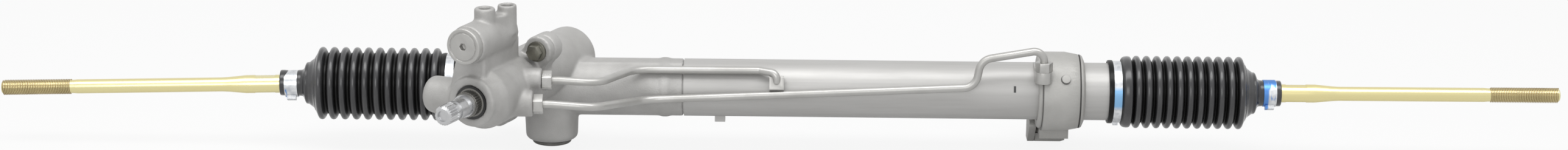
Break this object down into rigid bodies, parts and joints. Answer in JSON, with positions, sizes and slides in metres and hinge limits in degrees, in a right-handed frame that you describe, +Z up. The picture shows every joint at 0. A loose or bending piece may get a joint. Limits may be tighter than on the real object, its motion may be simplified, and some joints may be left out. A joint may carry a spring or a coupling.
{
  "type": "steering rack",
  "caption": "Hydraulic power steering rack with tilted pinion tower, control valve, cylinder tube, rubber bellows, inner tie rods and two bushed mounting ears.",
  "frame": {"origin": "centre of the pinion-side mounting bore, at mid height of its boss", "axes": "+X along the rack from the pinion side towards the free end, +Y away from the input shaft towards the mounting ears, +Z up along both mounting bores"},
  "size_m": [1.4092, 0.2424, 0.158],
  "materials": {
    "cast_aluminium": "satin",
    "cast_valve": "satin",
    "tube_steel": "satin",
    "steel": "satin",
    "bright_steel": "polished",
    "ground_steel": "polished",
    "zinc_yellow": "satin",
    "dark_bolt": "satin",
    "boot_rubber": "gloss",
    "bush_rubber": "matt",
    "seal_rubber": "satin",
    "bronze": "satin",
    "nylon": "satin",
    "ring_plastic": "satin",
    "spring_steel": "satin",
    "cast_bracket": "satin"
  },
  "bodies": {
    "housing": {"rack_housing": "cast_aluminium", "cylinder_tube": "tube_steel", "valve_housing": "cast_valve", "flange_bolts": "dark_bolt", "pinion_cap": "steel", "lower_bearing": "bright_steel", "upper_bearing": "bright_steel", "shaft_bearing": "bright_steel", "input_seal": "seal_rubber", "valve_plug": "tube_steel", "spool_spring": "spring_steel", "rack_guide": "bronze", "guide_plug": "steel", "guide_spring": "spring_steel", "cylinder_seal": "seal_rubber", "end_seal": "seal_rubber", "end_bushing": "bronze", "left_boot": "boot_rubber", "right_boot": "boot_rubber", "left_big_clamp": "bright_steel", "right_big_clamp": "bright_steel", "end_collar": "cast_bracket", "mount_bracket": "cast_bracket", "left_mount_bush": "bush_rubber", "right_mount_bush": "bush_rubber", "left_mount_sleeve": "steel", "right_mount_sleeve": "steel", "left_pressure_tube": "tube_steel", "right_pressure_tube": "tube_steel", "tube_nuts": "bright_steel", "tube_unions": "tube_steel"},
    "rack": {"rack_bar": "ground_steel", "piston": "steel", "piston_ring": "ring_plastic", "left_socket": "steel", "right_socket": "steel", "left_lock_washer": "steel", "right_lock_washer": "steel"},
    "pinion": {"pinion_gear": "ground_steel", "valve_sleeve": "steel", "torsion_bar": "spring_steel"},
    "input": {"input_shaft": "bright_steel"},
    "spool": {"control_spool": "ground_steel"},
    "left_seat": {"left_ball_seat": "nylon"},
    "right_seat": {"right_ball_seat": "nylon"},
    "left_rod": {"left_tie_rod": "zinc_yellow", "left_small_clamp": "bright_steel"},
    "right_rod": {"right_tie_rod": "zinc_yellow", "right_small_clamp": "bright_steel"}
  },
  "joints": [
    {"name": "rack_slide", "type": "slide", "parent": "housing", "child": "rack", "axis": [1, 0, 0], "range_m": [-0.069, 0.075], "deforming": ["left_boot", "right_boot"]},
    {"name": "pinion_spin", "type": "hinge", "parent": "housing", "child": "pinion", "pos_m": [0.046, -0.048, 0.031], "axis": [-0.4147, -0.91, 0], "range_deg": [-399.5, 434.2]},
    {"name": "input_twist", "type": "hinge", "parent": "pinion", "child": "input", "pos_m": [0.046, -0.048, 0.031], "axis": [-0.4147, -0.91, 0], "range_deg": [-4.5, 4.5], "stiffness_Nm_per_rad": 60},
    {"name": "spool_slide", "type": "slide", "parent": "housing", "child": "spool", "axis": [0.4147, 0.91, 0], "range_m": [0, 0.006], "stiffness_N_per_m": 1500, "springref_m": -0.003, "deforming": ["spool_spring"]},
    {"name": "left_swing", "type": "hinge", "parent": "rack", "child": "left_seat", "pos_m": [-0.158, -0.048, 0.01], "axis": [0, 0, 1], "range_deg": [-20, 20]},
    {"name": "left_bounce", "type": "hinge", "parent": "left_seat", "child": "left_rod", "pos_m": [-0.158, -0.048, 0.01], "axis": [0, 1, 0], "range_deg": [-20, 20]},
    {"name": "right_swing", "type": "hinge", "parent": "rack", "child": "right_seat", "pos_m": [0.664, -0.048, 0.01], "axis": [0, 0, 1], "range_deg": [-20, 20]},
    {"name": "right_bounce", "type": "hinge", "parent": "right_seat", "child": "right_rod", "pos_m": [0.664, -0.048, 0.01], "axis": [0, 1, 0], "range_deg": [-20, 20]}
  ],
  "couplings": [
    {"joint": "pinion_spin", "follows": "rack_slide", "rad_per_m": 101.01}
  ]
}
